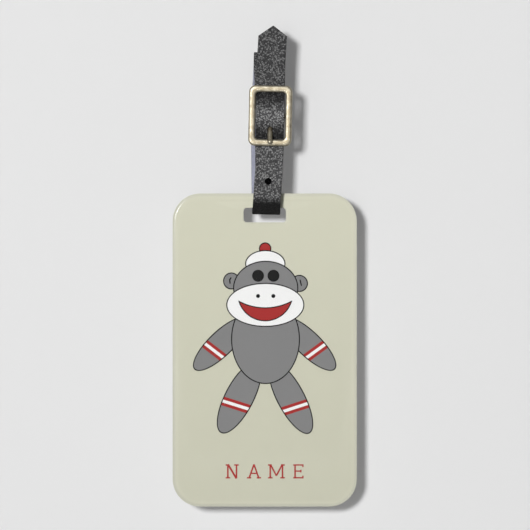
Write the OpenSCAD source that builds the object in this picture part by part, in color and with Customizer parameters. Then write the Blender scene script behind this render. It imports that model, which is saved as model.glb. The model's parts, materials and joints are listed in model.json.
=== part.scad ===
// Luggage tag with a printed picture card, hanging from a buckled leather strap.
// Origin: middle of the strap's hanging loop. +Z up, +X to the right, front face towards -Y.

/* [Tag] */
// Width of the tag
tag_w = 60; // [57:0.5:66]
// Height of the tag
tag_h = 102; // [101:0.5:110]
// Thickness of the whole tag, cover to rear window
tag_t = 3.6; // [3.4:0.1:3.7]
// Outer corner radius of the tag
corner_r = 9; // [6:0.5:11]
// Width of the strap slot
slot_w = 13.8; // [13:0.1:16]
// Height of the strap slot
slot_h = 4.7; // [4.6:0.1:5.5]
// Depth of the bridge between the slot and the tag's top edge
bridge_h = 4.7; // [4:0.1:4.8]
// Thickness of the clear front cover
cover_t = 1.0; // [0.8:0.05:1.1]
// Thickness of the picture card
picture_t = 0.3; // [0.2:0.05:0.4]
// Thickness of the ink on the picture card
ink_t = 0.06; // [0.04:0.01:0.08]
// Thickness of the white core plate
core_t = 0.6; // [0.5:0.05:0.7]
// Depth of the pocket behind the core plate
pocket_t = 0.6; // [0.5:0.05:0.7]

/* [Contact card] */
// Width of the contact card
card_w = 50.8; // [48:0.1:51]
// Height of the contact card
card_h = 88.9; // [80:0.1:89]
// Thickness of the contact card
card_t = 0.35; // [0.2:0.05:0.4]
// Gap left round the card in its pocket
card_gap = 0.25; // [0.2:0.05:0.3]
// Radius of the thumb notch in the rear window
notch_r = 9; // [7:0.5:11]

/* [Strap] */
// Width of the strap
strap_w = 9.3; // [8.5:0.1:9.4]
// Thickness of the leather
strap_t = 1.3; // [1.1:0.05:1.3]
// Clear width of the hanging loop, front to back
loop_gap = 4.5; // [4.4:0.1:4.8]
// Height of the hanging loop's middle above the tag's top edge
loop_rise = 42.45; // [40:0.05:50]
// Height of the shoulders of the pointed tail above the loop's middle
shoulder_rise = 8.8; // [6:0.05:20]
// Length of the tail's point
point_len = 3.3; // [2.5:0.1:5]
// Lean of the strap to the right, in degrees
strap_lean = 1.2; // [0:0.1:1.4]
// Radius of the spare hole in the strap
hole_r = 1.15; // [0.9:0.05:1.2]
// Height of the spare hole above the tag's top edge
hole_rise = 3.9; // [3:0.1:8]

/* [Buckle] */
// Outer width of the buckle
buckle_w = 14.1; // [14.1:0.1:16]
// Outer height of the buckle
buckle_h = 19.7; // [19.6:0.1:21]
// Width of the two side rails
rail_w = 2.2; // [2:0.1:2.2]
// Height of the top and bottom bars
bar_h = 2.2; // [1.8:0.1:2.2]
// Thickness of the buckle frame
buckle_t = 1.8; // [1.5:0.1:2]
// Radius of the centre bar
centre_r = 0.9; // [0.8:0.05:0.95]
// Height of the centre bar above the tag's top edge
buckle_rise = 25.25; // [25:0.05:26]
// Radius of the prong's tongue
prong_r = 0.85; // [0.7:0.05:0.85]
// Angle that the prong lifts before the leather holds it, in degrees
prong_lift = 5; // [3:1:6]

/* [Picture] */
// Width of the printed outlines
line_w = 0.36; // [0.2:0.01:0.4]
// Height of the capital letters
letter_h = 4.6; // [3:0.1:5]
// Width of the letters' strokes
letter_stroke = 0.5; // [0.3:0.02:0.6]

/* [Hidden] */
eps = 0.02;            // small overlap for clean cuts
layer_gap = 0.05;      // air between two layers of leather
pin_gap = 0.05;        // running clearance round the centre bar
bridge_gap = 0.24;     // air between the leather and the sweep of the bridge's corners

// Where the tag hangs, seen from the middle of the loop
tag_x = -1.15;
tag_top = -loop_rise;
tag_bottom = tag_top - tag_h;
rear_y = loop_gap / 2 + strap_t / 2;                    // rear layer's middle surface
bridge_reach = sqrt(pow(tag_t / 2, 2) + pow(bridge_h / 2, 2));
turn_r = bridge_reach + bridge_gap + strap_t / 2;       // strap's turn through the slot
tag_y = rear_y - turn_r;                                // middle plane of the tag
bridge_z = tag_top - bridge_h / 2;
front_y = tag_y - tag_t / 2;
ink_y = front_y + cover_t;
picture_y = ink_y + ink_t;
core_y = picture_y + picture_t;
pocket_y = core_y + core_t;
window_y = pocket_y + pocket_t;
window_t = tag_y + tag_t / 2 - window_y;
card_x = 0.5;                                           // sideways place of the card
pocket_left = card_x - card_w / 2 - card_gap;
pocket_h = card_h + 2 * card_gap;
pocket_low = 1.9;                                       // rim below the pocket
slot_low = tag_h - bridge_h - slot_h;
slot_r = 1.1;                                           // slot's corner radius
edge_step = 0.4;                                        // step round the cover's front edge

// Strap layers, front to back, at the buckle
layer = strap_t + layer_gap;
middle_y = -rear_y;
tail_y = middle_y - layer;
return_y = middle_y + layer;
wrap_r = centre_r + pin_gap + strap_t / 2;
bar_y = return_y - wrap_r;
over_y = bar_y - wrap_r - layer;                        // tail where it crosses the bar
bar_z = buckle_rise - loop_rise;
window_h = buckle_h - 2 * bar_h;
frame_back = tail_y - strap_t / 2 - 0.1;                // rear face of the buckle frame
tail_x = [0.5, 0.97, 0.92, 1.27];                       // tail's place at slot, hole, loop, shoulder
low_taper = 0.15;                                       // how much narrower each side runs below
rear_x = [-0.1, -0.4, 0.2];                             // rear layer's place at loop, middle, slot
bar_x = 1.05;                                           // sideways place of the buckle
return_z = bar_z + 10;                                  // end of the wrapped leather
rivet_z = bar_z + 7.8;
rivet_r = 0.8;
rivet_head_r = 1.8;
rivet_head_t = 0.3;

// Prong: from the bar, down through the tail's hole, onto the bottom bar
prong_start = [bar_y - 0.3, bar_z - 1.2];
prong_end = [frame_back - buckle_t - 0.7, bar_z - buckle_h / 2 + 1.35];
prong_eye = centre_r + pin_gap + 0.7;
prong_w = 1.9;

// ---- helpers -------------------------------------------------------------

function ease(t) = (1 - cos(180 * t)) / 2;
function mix(a, b, t) = a + (b - a) * t;

// Flat outline with true round corners, its lower left corner at the origin
module round_rect(w, h, r) {
  translate([r, 0]) square([w - 2 * r, h]);
  translate([0, r]) square([w, h - 2 * r]);
  for (x = [r, w - r], y = [r, h - r]) translate([x, y]) circle(r = r, $fn = 64);
}

// Stands a flat outline up in the tag, from y0 backwards by t; z counts from the tag's foot
module plate(y0, t) {
  translate([tag_x, y0 + t, tag_bottom]) rotate([90, 0, 0]) linear_extrude(t) children();
}

module tag_outline(inset = 0) {
  translate([inset - tag_w / 2, inset])
    round_rect(tag_w - 2 * inset, tag_h - 2 * inset, corner_r - inset);
}

module slot_outline() {
  translate([-slot_w / 2, slot_low]) round_rect(slot_w, slot_h, slot_r);
}

// Cylinder along X, centred
module cross_pin(r, len, fn = 48) {
  rotate([0, 90, 0]) cylinder(r = r, h = len, center = true, $fn = fn);
}

// Everything on the strap leans with it
module on_strap() { rotate([0, strap_lean, 0]) children(); }

// ---- strap ---------------------------------------------------------------

// Points are [x, y, z, half width] along the middle of the leather
half_w = strap_w / 2;
function tail_drift(z) = lookup(z, [[bridge_z, tail_x[0]], [bridge_z + 9.8, tail_x[1]],
                                    [0, tail_x[2]], [shoulder_rise, tail_x[3]]]);

wrap_path = [for (i = [0:12]) let (a = 15 * i)
  [bar_x, bar_y + wrap_r * cos(a), bar_z - wrap_r * sin(a), half_w]];
middle_path = [for (i = [0:8]) let (t = i / 8)
  [mix(bar_x, 0.6, t), mix(bar_y - wrap_r, middle_y, ease(t)), bar_z + 0.3 + 5.6 * t, half_w]];
fold_path = [for (i = [0:12]) let (a = 15 * i)
  [rear_x[0], -(rear_y - eps) * cos(a), (rear_y - eps) * sin(a), half_w]];
rear_path = [for (z = [-10, -26]) [rear_x[1], rear_y, z, half_w]];
low_half = half_w - low_taper;
turn_path = [for (i = [0:12]) let (a = 15 * i, x = mix(rear_x[2], tail_x[0], i / 12))
  [x, tag_y + turn_r * cos(a), bridge_z - turn_r * sin(a), mix(half_w, low_half, i / 12)]];

// Tail: height above the tag's top edge and depth, eased from one stop to the next
function tail_stretch(z0, y0, z1, y1, n, w = half_w) = [for (i = [1:n])
  let (z = mix(z0, z1, i / n)) [tail_drift(z), mix(y0, y1, ease(i / n)), z, w]];
low_z = bar_z - window_h / 2 + 0.2;
high_z = bar_z + window_h / 2 - 0.2;
// Arch over the centre bar, from the bottom bar up to the top bar
arch_path = [for (i = [0:20]) let (z = mix(low_z, high_z, i / 20))
  [tail_drift(z), tail_y + (over_y - tail_y) * sin(9 * i), z, half_w]];
tail_path = concat(
  tail_stretch(bridge_z + 3, tag_y - turn_r, low_z - 2.5, tail_y, 4, low_half),
  arch_path,
  [[tail_drift(high_z + 2), tail_y, high_z + 2, half_w],
   [tail_x[3], tail_y, shoulder_rise, half_w],
   [tail_x[3] + 0.15, tail_y, shoulder_rise + point_len, 0.15]]);
strap_path = concat([[bar_x, return_y, return_z, half_w]], wrap_path, middle_path,
                    fold_path, rear_path, turn_path, tail_path);

function unit2(v) = v / norm(v);
function strap_normal(p, i) =
  let (a = p[max(i - 1, 0)], b = p[min(i + 1, len(p) - 1)],
       t = unit2([b[1] - a[1], b[2] - a[2]]))
  [-t[1], t[0]];
// Four corners of the leather's section at point i
function strap_corners(p, i) =
  let (n = strap_normal(p, i) * strap_t / 2, x = p[i][0], y = p[i][1], z = p[i][2], w = p[i][3])
  [[x - w, y - n[0], z - n[1]], [x + w, y - n[0], z - n[1]],
   [x + w, y + n[0], z + n[1]], [x - w, y + n[0], z + n[1]]];

module strap_sweep() {
  n = len(strap_path);
  points = [for (i = [0:n - 1]) each strap_corners(strap_path, i)];
  sides = [for (i = [0:n - 2], k = [0:3])
    let (a = 4 * i + k, b = 4 * i + (k + 1) % 4)
    each [[a, b + 4, b], [a, a + 4, b + 4]]];
  last = 4 * (n - 1);
  ends = [[0, 1, 2], [0, 2, 3], [last + 2, last + 1, last], [last + 3, last + 2, last]];
  polyhedron(points, concat(sides, ends));
}

// Room for the tongue through the tail, at rest and lifted
module tongue_room() {
  for (lift = [0, prong_lift]) prong_turned(lift) tongue(prong_r + 0.15);
}

module strap() {
  color("#3a3a3e") on_strap() difference() {
    strap_sweep();
    cross_pin(loop_gap / 2, strap_w + 4, 64);
    translate([bar_x, bar_y, bar_z]) cross_pin(wrap_r + strap_t / 2 + 0.04, prong_w + 0.3);
    tongue_room();
    translate([tail_drift(tag_top + hole_rise), tag_y, tag_top + hole_rise])
      rotate([90, 0, 0]) cylinder(r = hole_r, h = 9, $fn = 48);
    translate([bar_x, return_y + strap_t, rivet_z]) rotate([90, 0, 0])
      cylinder(r = rivet_r, h = return_y - middle_y + 1.4 * strap_t, $fn = 48);
    translate([bar_x, middle_y - strap_t / 2 + rivet_head_t + eps, rivet_z]) rotate([90, 0, 0])
      cylinder(r = rivet_head_r + 0.05, h = rivet_head_t + eps + layer_gap / 2, $fn = 48);
  }
}

// ---- buckle --------------------------------------------------------------

module buckle_frame() {
  color("#c9b98a") on_strap() translate([bar_x, 0, bar_z]) difference() {
    union() {
      translate([0, frame_back, 0]) rotate([90, 0, 0]) linear_extrude(buckle_t) difference() {
        translate([-buckle_w / 2, -buckle_h / 2]) round_rect(buckle_w, buckle_h, 2);
        translate([rail_w - buckle_w / 2, bar_h - buckle_h / 2])
          round_rect(buckle_w - 2 * rail_w, window_h, 1);
      }
      for (side = [-1, 1]) {
        lug_x = side * (buckle_w - rail_w) / 2;
        translate([lug_x, bar_y, 0]) cross_pin(1.6, rail_w);
        translate([lug_x - rail_w / 2, frame_back - eps, -1.6])
          cube([rail_w, bar_y - frame_back + eps, 3.2]);
      }
    }
    translate([0, bar_y, 0]) cross_pin(centre_r, buckle_w + 2);
    translate([-bar_x, 0, -bar_z]) tongue(prong_r + 0.1);
  }
}

module centre_bar() {
  color("#b5a272") on_strap() translate([bar_x, bar_y, bar_z]) cross_pin(centre_r, buckle_w - 0.4);
}

// Turns its children about the centre bar, as the prong lifts
module prong_turned(a) {
  translate([0, bar_y, bar_z]) rotate([-a, 0, 0]) translate([0, -bar_y, -bar_z]) children();
}

// The prong's straight tongue, with a round tip
module tongue(r) {
  run = prong_end - prong_start;
  translate([bar_x, prong_start[0], prong_start[1]])
    rotate([180 - atan2(-run[0], -run[1]), 0, 0]) {
      cylinder(r = r, h = norm(run), $fn = 48);
      translate([0, 0, norm(run)]) sphere(r = r, $fn = 48);
    }
}

module prong() {
  color("#d6c795") on_strap() difference() {
    union() {
      translate([bar_x, bar_y, bar_z]) cross_pin(prong_eye, prong_w);
      tongue(prong_r);
    }
    translate([bar_x, bar_y, bar_z]) cross_pin(centre_r + pin_gap, prong_w + 2);
  }
}

module rivet_post() {
  color("#b5a272") on_strap() translate([bar_x, 0, rivet_z]) {
    translate([0, return_y + strap_t / 2, 0]) rotate([90, 0, 0])
      cylinder(r = rivet_r, h = return_y - middle_y + strap_t - rivet_head_t, $fn = 48);
    translate([0, middle_y - strap_t / 2 + rivet_head_t, 0]) rotate([90, 0, 0])
      cylinder(r = rivet_head_r, h = rivet_head_t, $fn = 48);
  }
}

module rivet_cap() {
  color("#c9b98a") on_strap() translate([bar_x, return_y + strap_t / 2, rivet_z])
    rotate([-90, 0, 0]) rotate_extrude($fn = 48) {
      square([rivet_head_r, 0.25]);
      translate([0, 0.25]) square([rivet_head_r - 0.35, 0.25]);
    }
}

// ---- printed picture -----------------------------------------------------
// A sock monkey drawn with plain ovals. Each shape is [x, z, half width, half height, turn].

shapes = [
  [0.15, 84.05, 1.85, 1.85, 0],      // pompom
  [0.2, 79.1, 6.4, 4.3, 0],          // hat
  [-10.85, 73.5, 2.55, 2.6, 0],      // left ear
  [11.3, 72.7, 2.62, 2.62, 0],       // right ear
  [-14.3, 53, 11.8, 3.95, 44],       // left arm
  [14.3, 53.05, 11.8, 3.95, -44.2],  // right arm
  [-8.3, 35.5, 12.8, 4.6, 62.7],     // left leg
  [8.5, 35.4, 12.9, 4.4, -62.2],     // right leg
  [0.27, 54.5, 11.05, 14.4, 0],      // body
  [0.33, 71.2, 10.45, 8.7, 0],       // head
  [0.2, 65.7, 12.55, 7.0, 0]];       // muzzle
red_shapes = [0];
white_shapes = [1, 10];
grey_shapes = [2, 3, 4, 5, 6, 7, 8, 9];
eyes = [[-2.17, 75.2], [2.86, 75.2]];
nostrils = [[-2.17, 68.6], [2.82, 68.6]];
eye_r = 1.95;
nostril_r = 0.65;
mouth = [0.17, 60.7, 64.55, 66.5, 8.25];  // middle, lower lip, upper lip, corners, half width
// Short marks in the ears, as points joined by strokes
ear_lines = [[[-11.0, 74.5], [-11.4, 73.9], [-11.3, 72.8]], [[11.55, 73.75], [11.95, 72.1]]];
ear_line_w = 0.42;
// Cuffs of three bands: [x, z, tilt of the band]
cuffs = [[-16.3, 50.65, -37.5], [16.7, 50.7, 36], [-9.35, 33.05, -17.5], [10.35, 32.4, 18]];
cuff_h = 2.95;

module oval(i, grow) {
  s = shapes[i];
  translate([s[0], s[1]]) rotate(s[4]) scale([s[2] + grow, s[3] + grow]) circle(r = 1, $fn = 48);
}

// Part of shape i that no later shape covers
module seen(i, grow) {
  difference() {
    oval(i, grow);
    if (i < len(shapes) - 1) for (j = [i + 1:len(shapes) - 1]) oval(j, line_w / 2);
  }
}

// Circle through the two mouth corners and the point at height z
module lip(z, grow) {
  rise = mouth[3] - z;
  r = (pow(mouth[4], 2) + pow(rise, 2)) / (2 * rise);
  translate([mouth[0], z + r]) circle(r = r + grow, $fn = 96);
}

module mouth_shape(grow) {
  difference() {
    lip(mouth[1], grow);
    lip(mouth[2], -grow);
    translate([mouth[0] - 15, mouth[3] + 0.6]) square([30, 30]);
  }
}

module cuff_band(low, high) {
  for (c = cuffs) translate([c[0], c[1]]) rotate(c[2])
    translate([-7, low]) square([14, high - low]);
}

// Arms and legs, inside their outlines
module limbs() {
  for (i = [4:7]) seen(i, -line_w / 2);
}

module face_marks(grow) {
  for (p = eyes) translate(p) circle(r = eye_r + grow, $fn = 48);
  for (p = nostrils) translate(p) circle(r = nostril_r + grow, $fn = 32);
}

module ear_marks() {
  for (line = ear_lines) {
    for (i = [1:len(line) - 1]) stroke(line[i - 1], line[i], ear_line_w);
    for (p = line) translate(p) circle(r = ear_line_w / 2, $fn = 24);
  }
}

// One straight stroke of a letter
module stroke(a, b, w = letter_stroke) {
  n = unit2([a[1] - b[1], b[0] - a[0]]) * w / 2;
  polygon([a - n, b - n, b + n, a + n]);
}

module serif(x, z, half) {
  translate([x - half, z == 0 ? 0 : letter_h - letter_stroke * 0.85])
    square([2 * half, letter_stroke * 0.85]);
}

module letter_n() {
  top = letter_h;
  for (x = [0.6, 3.4]) stroke([x, 0], [x, top]);
  stroke([0.65, top], [3.35, 0], letter_stroke * 1.2);
  serif(0.6, 0, 0.75);
  serif(0.45, 1, 0.6);
  serif(3.4, 1, 0.75);
}

module letter_a() {
  top = letter_h;
  stroke([0.6, 0], [2.2, top]);
  stroke([2.2, top], [3.8, 0]);
  stroke([1.1, top * 0.36], [3.3, top * 0.36], letter_stroke * 0.85);
  serif(0.6, 0, 0.7);
  serif(3.8, 0, 0.7);
}

module letter_m() {
  top = letter_h;
  for (x = [0.6, 4.6]) stroke([x, 0], [x, top]);
  stroke([0.65, top], [2.6, 0.9]);
  stroke([2.6, 0.9], [4.55, top]);
  serif(0.6, 0, 0.75);
  serif(4.6, 0, 0.75);
  serif(0.45, 1, 0.6);
  serif(4.75, 1, 0.6);
}

module letter_e() {
  top = letter_h;
  stroke([0.6, 0], [0.6, top]);
  for (z = [0, 1]) translate([0, z * (top - letter_stroke * 0.85)])
    square([3.3, letter_stroke * 0.85]);
  stroke([0.6, top * 0.52], [2.6, top * 0.52], letter_stroke * 0.85);
  for (z = [0.45, top - 0.45]) stroke([3.15, z - 0.45], [3.15, z + 0.45], letter_stroke * 0.8);
  stroke([2.5, top * 0.52 - 0.45], [2.5, top * 0.52 + 0.45], letter_stroke * 0.8);
}

module lettering() {
  starts = [-12.9, -6.0, 0.9, 9.0];
  translate([0.3, 9.15]) {
    translate([starts[0], 0]) letter_n();
    translate([starts[1], 0]) letter_a();
    translate([starts[2], 0]) letter_m();
    translate([starts[3], 0]) letter_e();
  }
}

module print_grey() {
  color("#838383") plate(ink_y, ink_t) difference() {
    for (i = grey_shapes) seen(i, -line_w / 2);
    intersection() { limbs(); cuff_band(-cuff_h / 2, cuff_h / 2); }
    face_marks(0);
    ear_marks();
  }
}

module print_white() {
  color("#f3f3f1") plate(ink_y, ink_t) {
    difference() {
      for (i = white_shapes) seen(i, -line_w / 2);
      mouth_shape(line_w);
      face_marks(0);
    }
    intersection() { limbs(); cuff_band(-cuff_h / 6, cuff_h / 6); }
  }
}

module print_red() {
  color("#b13432") plate(ink_y, ink_t) {
    for (i = red_shapes) seen(i, -line_w / 2);
    mouth_shape(0);
    intersection() {
      limbs();
      union() {
        cuff_band(-cuff_h / 2, -cuff_h / 6);
        cuff_band(cuff_h / 6, cuff_h / 2);
      }
    }
    lettering();
  }
}

module print_black() {
  color("#262626") plate(ink_y, ink_t) {
    for (i = [0:len(shapes) - 1]) difference() {
      seen(i, line_w / 2);
      oval(i, -line_w / 2);
    }
    difference() { mouth_shape(line_w); mouth_shape(0); }
    face_marks(0);
    ear_marks();
  }
}

// ---- tag -----------------------------------------------------------------

module front_cover() {
  color("#dfe3d8", 0.35) {
    plate(front_y, edge_step) difference() { tag_outline(edge_step); slot_outline(); }
    plate(front_y + edge_step, cover_t - edge_step) difference() { tag_outline(); slot_outline(); }
  }
}

module picture_card() {
  color("#cdccb7") plate(picture_y, picture_t) difference() { tag_outline(); slot_outline(); }
}

module core_plate() {
  color("#efefec") plate(core_y, core_t) difference() { tag_outline(); slot_outline(); }
}

module spacer_frame() {
  color("#e9e9e4") plate(pocket_y, pocket_t) difference() {
    tag_outline();
    slot_outline();
    translate([pocket_left, pocket_low]) square([tag_w, pocket_h]);
  }
}

module contact_card() {
  color("#f7f5ee") plate(pocket_y + (pocket_t - card_t) / 2, card_t)
    translate([card_x - card_w / 2, pocket_low + card_gap]) square([card_w, card_h]);
}

module rear_window() {
  color("#dfe6e6", 0.35) plate(window_y, window_t) difference() {
    tag_outline();
    slot_outline();
    translate([tag_w / 2 + 1, pocket_low + pocket_h / 2]) circle(r = notch_r, $fn = 96);
  }
}

strap();
buckle_frame();
centre_bar();
prong();
rivet_post();
rivet_cap();
front_cover();
print_grey();
print_white();
print_red();
print_black();
picture_card();
core_plate();
spacer_frame();
contact_card();
rear_window();
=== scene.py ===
import json
import math

import bmesh
import bpy
import numpy as np
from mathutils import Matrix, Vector


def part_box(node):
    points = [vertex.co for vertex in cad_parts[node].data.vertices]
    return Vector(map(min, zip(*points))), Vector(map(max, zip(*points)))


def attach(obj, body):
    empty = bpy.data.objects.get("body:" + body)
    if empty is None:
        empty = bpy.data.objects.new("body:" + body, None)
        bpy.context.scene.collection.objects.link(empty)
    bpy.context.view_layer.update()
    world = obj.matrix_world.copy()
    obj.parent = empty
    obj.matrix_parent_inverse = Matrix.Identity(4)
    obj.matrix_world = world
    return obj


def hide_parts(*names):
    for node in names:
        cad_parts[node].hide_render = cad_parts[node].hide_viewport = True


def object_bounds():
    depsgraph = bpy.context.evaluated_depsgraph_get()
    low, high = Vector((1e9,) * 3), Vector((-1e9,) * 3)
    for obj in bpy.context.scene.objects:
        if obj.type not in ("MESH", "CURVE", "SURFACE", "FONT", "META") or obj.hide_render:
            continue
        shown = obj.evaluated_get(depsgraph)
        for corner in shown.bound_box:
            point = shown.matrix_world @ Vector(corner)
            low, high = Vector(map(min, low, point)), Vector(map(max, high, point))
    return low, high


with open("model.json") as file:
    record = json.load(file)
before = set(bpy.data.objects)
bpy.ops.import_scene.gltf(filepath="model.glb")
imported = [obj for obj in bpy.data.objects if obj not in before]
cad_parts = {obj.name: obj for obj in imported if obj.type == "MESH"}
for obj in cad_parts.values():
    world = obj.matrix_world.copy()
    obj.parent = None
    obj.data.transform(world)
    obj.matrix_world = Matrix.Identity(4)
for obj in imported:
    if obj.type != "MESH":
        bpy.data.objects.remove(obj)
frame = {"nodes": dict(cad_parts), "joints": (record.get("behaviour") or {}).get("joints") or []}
cadLow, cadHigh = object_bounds()
scene = bpy.context.scene
scene.view_settings.view_transform = "Standard"
mm = 0.001  # lengths below are in millimetres unless a name says otherwise


def jointNamed(name):
    return next(j for j in frame["joints"] if j["name"] == name)


# where things are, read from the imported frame, in millimetres
coreLow, coreHigh = (np.array(c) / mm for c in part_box("core_plate"))
coverLow, coverHigh = (np.array(c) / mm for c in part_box("front_cover"))
tagMiddle = np.array(jointNamed("tag_swing")["pos_m"]) / mm
barMiddle = np.array(jointNamed("prong_lift")["pos_m"]) / mm
strapLean = math.radians(1.2)


view = {
    "lens": 400.0,       # mm, a long lens keeps the tag's sides parallel
    "frameWidth": 172.6,  # what the picture takes in at the tag's face
    "right": 0.1,        # middle of the picture, right of the tag's middle
    "drop": 23.3,        # and below the tag's top edge
}


def makeCamera():
    data = bpy.data.cameras.new("camera")
    data.lens = view["lens"]
    data.clip_start = 0.01
    away = view["frameWidth"] * view["lens"] / data.sensor_width
    camera = bpy.data.objects.new("camera", data)
    camera.location = Vector((
        tagMiddle[0] + view["right"], coverLow[1] - away, coverHigh[2] - view["drop"])) * mm
    camera.rotation_euler = (math.pi / 2, 0, 0)
    scene.collection.objects.link(camera)
    scene.camera = camera


lights = {
    "aim": (0.0, 0.0, -0.08),          # metres, the middle of the tag
    "key": {"from": (-0.272, -1.0, 0.15), "away": 4.0, "size": 0.55, "power": 137.0},
    "back": {"from": (-0.6, 1.0, 0.4), "away": 2.0, "size": 1.2, "power": 9.0},
    "world": 0.12,                     # even light from all round
    "backdrop": (0.665, 0.665, 0.665),
    "backdropGlow": 0.098,             # lifts the shadows on it
    "floorGlow": 0.45,
}


def makeLamp(name, spec):
    data = bpy.data.lights.new(name, "AREA")
    data.size = spec["size"]
    data.energy = spec["power"]
    lamp = bpy.data.objects.new(name, data)
    way = Vector(spec["from"]).normalized()
    lamp.location = Vector(lights["aim"]) + way * spec["away"]
    lamp.rotation_euler = way.to_track_quat("Z", "Y").to_euler()
    scene.collection.objects.link(lamp)


def makeWorld():
    world = bpy.data.worlds.new("studio")
    scene.world = world
    world.use_nodes = True
    nodes, links = world.node_tree.nodes, world.node_tree.links
    nodes.clear()
    seen = nodes.new("ShaderNodeBackground")      # what the camera sees past the backdrop
    seen.inputs["Color"].default_value = (0.78, 0.78, 0.78, 1)
    lit = nodes.new("ShaderNodeBackground")
    lit.inputs["Color"].default_value = (1, 1, 1, 1)
    lit.inputs["Strength"].default_value = lights["world"]
    rays = nodes.new("ShaderNodeLightPath")
    mix = nodes.new("ShaderNodeMixShader")
    out = nodes.new("ShaderNodeOutputWorld")
    links.new(rays.outputs["Is Camera Ray"], mix.inputs[0])
    links.new(lit.outputs[0], mix.inputs[1])
    links.new(seen.outputs[0], mix.inputs[2])
    links.new(mix.outputs[0], out.inputs[0])


makeCamera()
makeLamp("key lamp", lights["key"])
makeLamp("back lamp", lights["back"])
makeWorld()
print("camera and light made")


def gridFaces(rows, cols, wrapRows=False, wrapCols=False):
    # quads between neighbouring points of a grid, with either way closed on itself
    r = np.arange(rows if wrapRows else rows - 1)[:, None]
    c = np.arange(cols if wrapCols else cols - 1)[None, :]
    nextR, nextC = (r + 1) % rows, (c + 1) % cols
    quads = np.stack([r * cols + c, r * cols + nextC, nextR * cols + nextC, nextR * cols + c], -1)
    return quads.reshape(-1, 4).tolist()


def tubeFaces(rows, cols):
    # the same closed on itself along each row, with a face over both ends
    ends = [list(range(cols))[::-1], list(range((rows - 1) * cols, rows * cols))]
    return gridFaces(rows, cols, wrapCols=True) + ends


def outward(mesh):
    work = bmesh.new()
    work.from_mesh(mesh)
    bmesh.ops.remove_doubles(work, verts=work.verts, dist=1e-7)
    bmesh.ops.dissolve_degenerate(work, edges=work.edges, dist=1e-7)
    bmesh.ops.recalc_face_normals(work, faces=work.faces)
    work.to_mesh(mesh)
    work.free()


def addPiece(name, points, faces, attributes=None, sharpAngle=40):
    # points in millimetres, an array of rows x y z
    mesh = bpy.data.meshes.new(name)
    mesh.from_pydata((np.asarray(points).reshape(-1, 3) * mm).tolist(), [], faces)
    for key, values in (attributes or {}).items():
        layer = mesh.attributes.new(key, "FLOAT", "POINT")
        layer.data.foreach_set("value", np.asarray(values, np.float32).ravel())
    outward(mesh)
    mesh.shade_smooth()
    mesh.set_sharp_from_angle(angle=math.radians(sharpAngle))
    obj = bpy.data.objects.new(name, mesh)
    scene.collection.objects.link(obj)
    return obj


def settle(obj, body, slotName, material, *cadNodes):
    obj.data.materials.clear()
    obj.data.materials.append(material)
    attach(obj, body)
    if cadNodes:
        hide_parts(*cadNodes)


def finishNode(node, material):
    # a CAD node whose shape is right only gets its finish
    obj = frame["nodes"][node]
    obj.data.materials.clear()
    obj.data.materials.append(material)


def leaned(points):
    # the strap's own upright frame, turned about Y to its lean
    p = np.asarray(points, float)
    c, s = math.cos(strapLean), math.sin(strapLean)
    x, y, z = p[..., 0], p[..., 1], p[..., 2]
    return np.stack([x * c + z * s, y, z * c - x * s], -1)


def unleaned(p):
    c, s = math.cos(strapLean), math.sin(strapLean)
    return np.array([p[0] * c - p[2] * s, p[1], p[0] * s + p[2] * c])


def easing(t):
    return (1 - np.cos(np.pi * np.clip(t, 0, 1))) / 2


def roundRectLoop(width, height, radius, perCorner, perSide):
    # points and outward normals round a rectangle with round corners, from its right side, turning left
    cx, cy = width / 2 - radius, height / 2 - radius
    points, normals = [], []
    corners = [(cx, cy, 0), (-cx, cy, 90), (-cx, -cy, 180), (cx, -cy, 270)]
    for k, (x, y, start) in enumerate(corners):
        a = np.radians(np.linspace(start, start + 90, perCorner))
        n = np.stack([np.cos(a), np.sin(a)], -1)
        points.append(np.array([x, y]) + radius * n)
        normals.append(n)
        nx, ny, _ = corners[(k + 1) % 4]
        n1 = n[-1]
        t = np.linspace(0, 1, perSide + 2)[1:-1, None]
        last = np.array([x, y]) + radius * n1
        following = np.array([nx, ny]) + radius * n1
        points.append(last + (following - last) * t)
        normals.append(np.repeat(n1[None, :], perSide, 0))
    return np.concatenate(points), np.concatenate(normals)


def newGroup(name, inputs, outputs):
    tree = bpy.data.node_groups.new(name, "ShaderNodeTree")
    for label, kind, value in inputs:
        socket = tree.interface.new_socket(name=label, in_out="INPUT", socket_type=kind)
        if value is not None:
            socket.default_value = value
    for label, kind in outputs:
        tree.interface.new_socket(name=label, in_out="OUTPUT", socket_type=kind)
    return tree, tree.nodes.new("NodeGroupInput"), tree.nodes.new("NodeGroupOutput")


def chain(tree, kind, inputs=None, **settings):
    node = tree.nodes.new(kind)
    for key, value in settings.items():
        setattr(node, key, value)
    for key, value in (inputs or {}).items():
        if isinstance(value, bpy.types.NodeSocket):
            tree.links.new(value, node.inputs[key])
        else:
            node.inputs[key].default_value = value
    return node


def mixColour(tree, factor, a, b, blend="MIX"):
    node = chain(tree, "ShaderNodeMix", data_type="RGBA", blend_type=blend)
    for socket, value in ((node.inputs[0], factor), (node.inputs[6], a), (node.inputs[7], b)):
        if isinstance(value, bpy.types.NodeSocket):
            tree.links.new(value, socket)
        else:
            socket.default_value = value
    return node.outputs[2]


def remap(tree, value, low, high, newLow=0.0, newHigh=1.0):
    node = chain(tree, "ShaderNodeMapRange", {
        "Value": value, "From Min": low, "From Max": high, "To Min": newLow, "To Max": newHigh})
    return node.outputs["Result"]


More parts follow.
